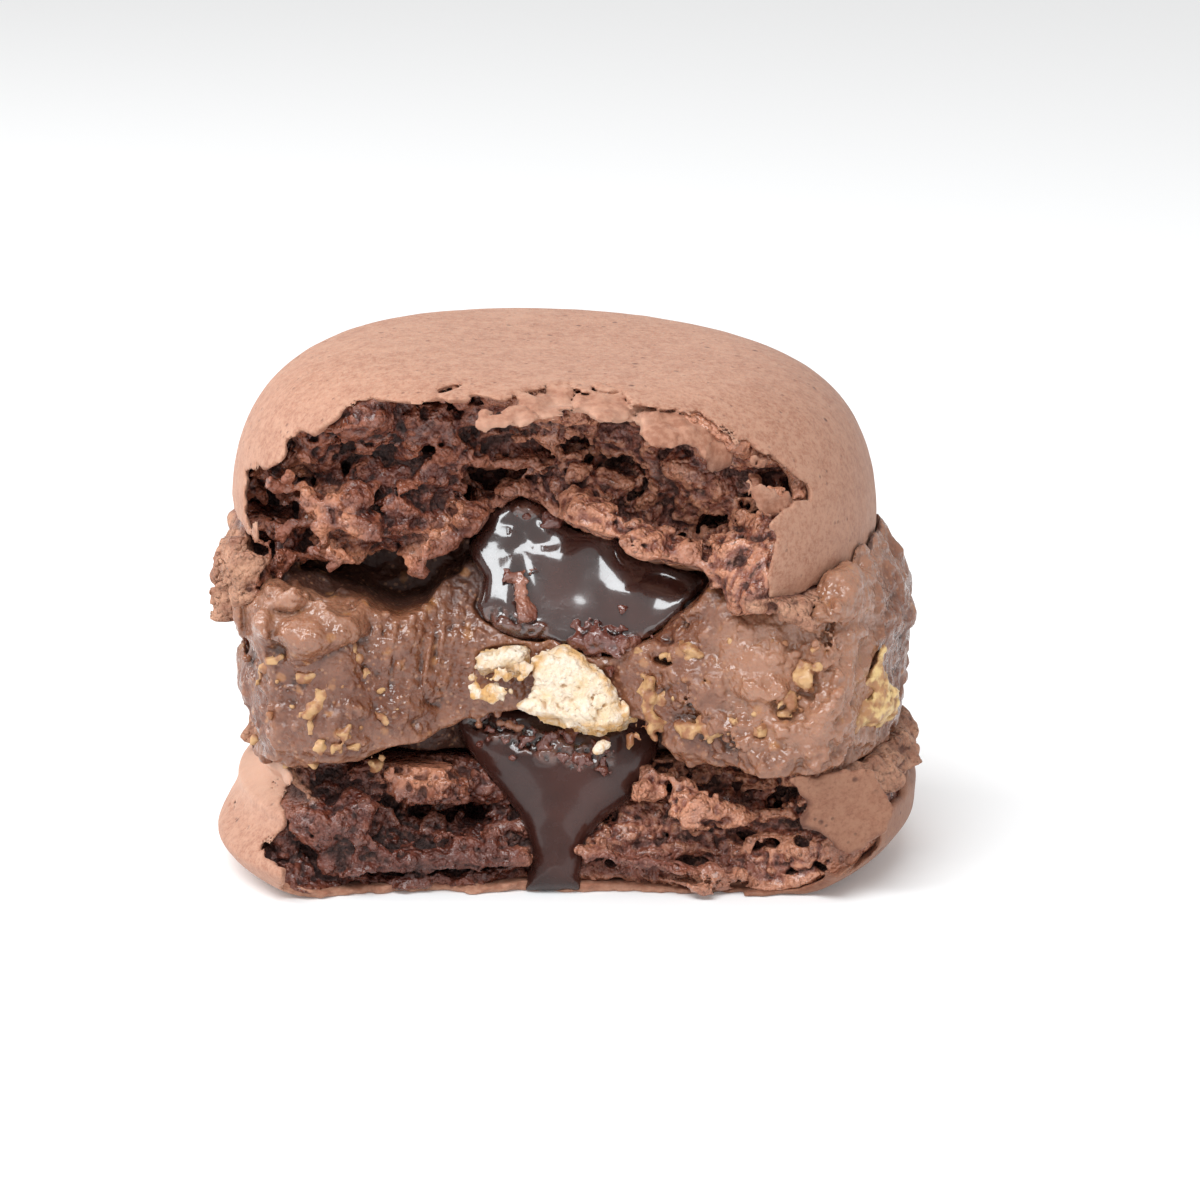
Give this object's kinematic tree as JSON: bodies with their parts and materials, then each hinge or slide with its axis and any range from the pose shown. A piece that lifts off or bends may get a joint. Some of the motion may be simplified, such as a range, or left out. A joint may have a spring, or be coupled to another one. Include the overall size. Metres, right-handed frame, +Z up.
{
  "type": "bitten filled macaron",
  "caption": "Thick chocolate macaron with a bite taken out of its front: domed shell, buttercream with biscuit pieces, soft ganache core running down, flat-based shell.",
  "frame": {"origin": "middle of the flat spot that the bottom shell rests on", "axes": "+Z up, -Y towards the bite, +X to the right as seen by someone facing the bite"},
  "size_m": [0.053, 0.043, 0.0389],
  "materials": {
    "shell": "matte baked chocolate meringue crust, darker porous crumb where bitten",
    "buttercream": "satin chocolate buttercream with fine biscuit crumbs",
    "ganache": "glossy soft dark chocolate",
    "biscuit": "dry crumbly pale biscuit"
  },
  "bodies": {
    "root": {"top_shell": "shell", "bottom_shell": "shell", "filling": "buttercream", "ganache": "ganache", "biscuit_large": "biscuit", "biscuit_small": "biscuit", "biscuit_side": "biscuit"}
  },
  "joints": []
}
